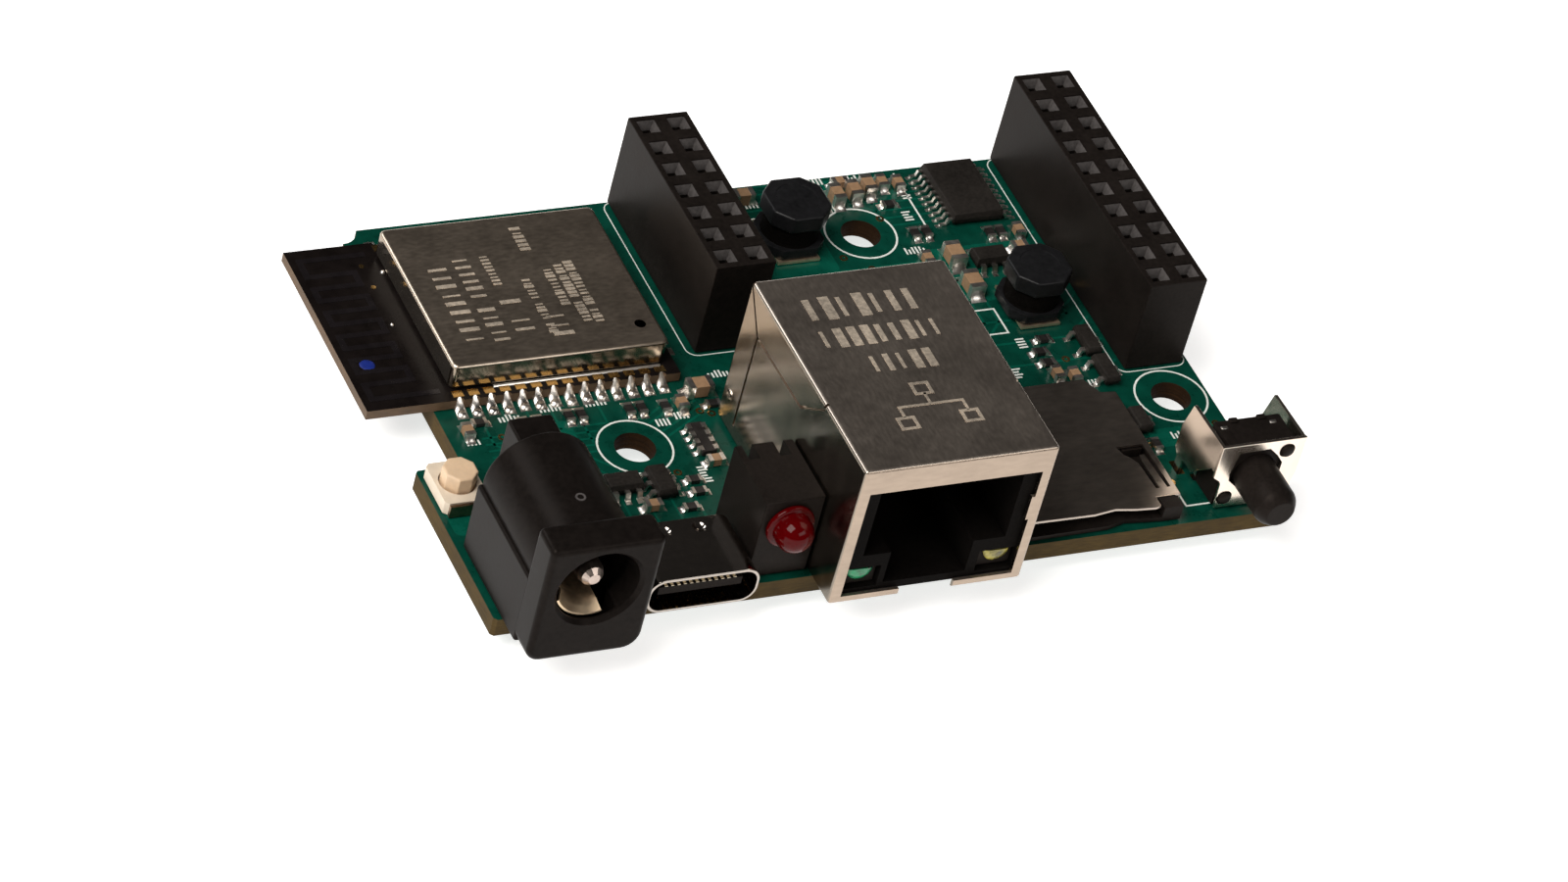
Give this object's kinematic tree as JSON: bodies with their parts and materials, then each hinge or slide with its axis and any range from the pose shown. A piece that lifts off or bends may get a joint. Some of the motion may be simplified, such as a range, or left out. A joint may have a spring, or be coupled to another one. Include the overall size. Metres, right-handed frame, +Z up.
{
  "type": "microcontroller development board",
  "caption": "Microcontroller board with radio module, network jack, power jack, USB port, card socket, socket strips, indicator lamp and push buttons.",
  "frame": {"origin": "under the middle of the board and its overhanging connectors, on the plane its longest pins stand on", "axes": "+X along the board's long edge towards the long socket strip, +Y from the connector edge to the rear edge, +Z up out of the component side"},
  "size_m": [0.0678, 0.0472, 0.0167],
  "materials": {
    "capacitor_input": "satin ceramic",
    "capacitor_output": "satin ceramic",
    "card_base": "moulded matt",
    "card_contacts": "gold plated",
    "card_cover": "rolled sheet, satin",
    "card_slider": "moulded matt",
    "charger_chip": "moulded epoxy",
    "choke_rear_core": "pressed ferrite",
    "choke_rear_drum": "sintered ferrite",
    "choke_rear_terminals": "tinned",
    "choke_rear_winding": "enamelled copper wire",
    "choke_right_core": "pressed ferrite",
    "choke_right_drum": "sintered ferrite",
    "choke_right_terminals": "tinned",
    "choke_right_winding": "enamelled copper wire",
    "jack_centre_pin": "nickel plated, polished",
    "jack_housing": "moulded matt",
    "jack_sleeve_spring": "nickel plated",
    "jack_switch_contact": "nickel plated",
    "lamp_holder": "moulded matt",
    "lamp_lead_left": "tinned",
    "lamp_lead_right": "tinned",
    "lamp_lens": "clear red epoxy, polished",
    "main_board": "green solder mask",
    "module_board": "black solder mask",
    "module_can": "satin drawn sheet",
    "module_memory_chip": "moulded epoxy",
    "module_processor_chip": "moulded epoxy",
    "network_chip": "moulded epoxy",
    "network_contacts": "gold plated",
    "network_housing": "moulded matt",
    "network_lamp_green": "clear green epoxy",
    "network_lamp_yellow": "clear yellow epoxy",
    "network_magnetics": "potted block",
    "network_pins": "tinned",
    "network_shield": "nickel plated sheet",
    "power_switch_chip": "moulded epoxy",
    "regulator_chip": "moulded epoxy",
    "resistor_pack": "printed ceramic",
    "serial_chip": "moulded epoxy",
    "side_button_body": "moulded matt",
    "side_button_bracket": "nickel plated sheet",
    "side_button_dome": "spring sheet",
    "side_button_plunger": "moulded matt",
    "side_button_terminals": "tinned",
    "strip_long_contacts_left": "gold plated",
    "strip_long_contacts_right": "gold plated",
    "strip_long_housing": "moulded matt",
    "strip_short_contacts_left": "gold plated",
    "strip_short_contacts_right": "gold plated",
    "strip_short_housing": "moulded matt",
    "top_button_base": "off-white moulding",
    "top_button_frame": "tarnished clip",
    "top_button_plunger": "cream moulding",
    "transistor_front": "moulded epoxy",
    "transistor_rear": "moulded epoxy",
    "usb_contacts_bottom": "gold plated",
    "usb_contacts_top": "gold plated",
    "usb_shell": "bright nickel",
    "usb_tongue": "moulded matt"
  },
  "bodies": {
    "board": {"capacitor_input": "capacitor_input", "capacitor_output": "capacitor_output", "card_base": "card_base", "card_contacts": "card_contacts", "card_cover": "card_cover", "charger_chip": "charger_chip", "choke_rear_core": "choke_rear_core", "choke_rear_drum": "choke_rear_drum", "choke_rear_terminals": "choke_rear_terminals", "choke_rear_winding": "choke_rear_winding", "choke_right_core": "choke_right_core", "choke_right_drum": "choke_right_drum", "choke_right_terminals": "choke_right_terminals", "choke_right_winding": "choke_right_winding", "jack_centre_pin": "jack_centre_pin", "jack_housing": "jack_housing", "jack_sleeve_spring": "jack_sleeve_spring", "jack_switch_contact": "jack_switch_contact", "lamp_holder": "lamp_holder", "lamp_lead_left": "lamp_lead_left", "lamp_lead_right": "lamp_lead_right", "lamp_lens": "lamp_lens", "main_board": "main_board", "module_board": "module_board", "module_can": "module_can", "module_memory_chip": "module_memory_chip", "module_processor_chip": "module_processor_chip", "network_chip": "network_chip", "network_contacts": "network_contacts", "network_housing": "network_housing", "network_lamp_green": "network_lamp_green", "network_lamp_yellow": "network_lamp_yellow", "network_magnetics": "network_magnetics", "network_pins": "network_pins", "network_shield": "network_shield", "power_switch_chip": "power_switch_chip", "regulator_chip": "regulator_chip", "resistor_pack": "resistor_pack", "serial_chip": "serial_chip", "side_button_body": "side_button_body", "side_button_bracket": "side_button_bracket", "side_button_dome": "side_button_dome", "side_button_terminals": "side_button_terminals", "strip_long_contacts_left": "strip_long_contacts_left", "strip_long_contacts_right": "strip_long_contacts_right", "strip_long_housing": "strip_long_housing", "strip_short_contacts_left": "strip_short_contacts_left", "strip_short_contacts_right": "strip_short_contacts_right", "strip_short_housing": "strip_short_housing", "top_button_base": "top_button_base", "top_button_frame": "top_button_frame", "transistor_front": "transistor_front", "transistor_rear": "transistor_rear", "usb_contacts_bottom": "usb_contacts_bottom", "usb_contacts_top": "usb_contacts_top", "usb_shell": "usb_shell", "usb_tongue": "usb_tongue"},
    "side_plunger": {"side_button_plunger": "side_button_plunger"},
    "top_plunger": {"top_button_plunger": "top_button_plunger"},
    "card_latch": {"card_slider": "card_slider"}
  },
  "joints": [
    {"name": "side_button_press", "type": "slide", "parent": "board", "child": "side_plunger", "axis": [0, 1, 0], "range_m": [0, 0.00025], "stiffness_N_per_m": 4000, "springref_m": -0.0002},
    {"name": "top_button_press", "type": "slide", "parent": "board", "child": "top_plunger", "axis": [0, 0, -1], "range_m": [0, 0.00022], "stiffness_N_per_m": 5000, "springref_m": -0.0002},
    {"name": "card_push", "type": "slide", "parent": "board", "child": "card_latch", "axis": [0, 1, 0], "range_m": [0, 0.0012], "stiffness_N_per_m": 800, "springref_m": -0.0005}
  ]
}
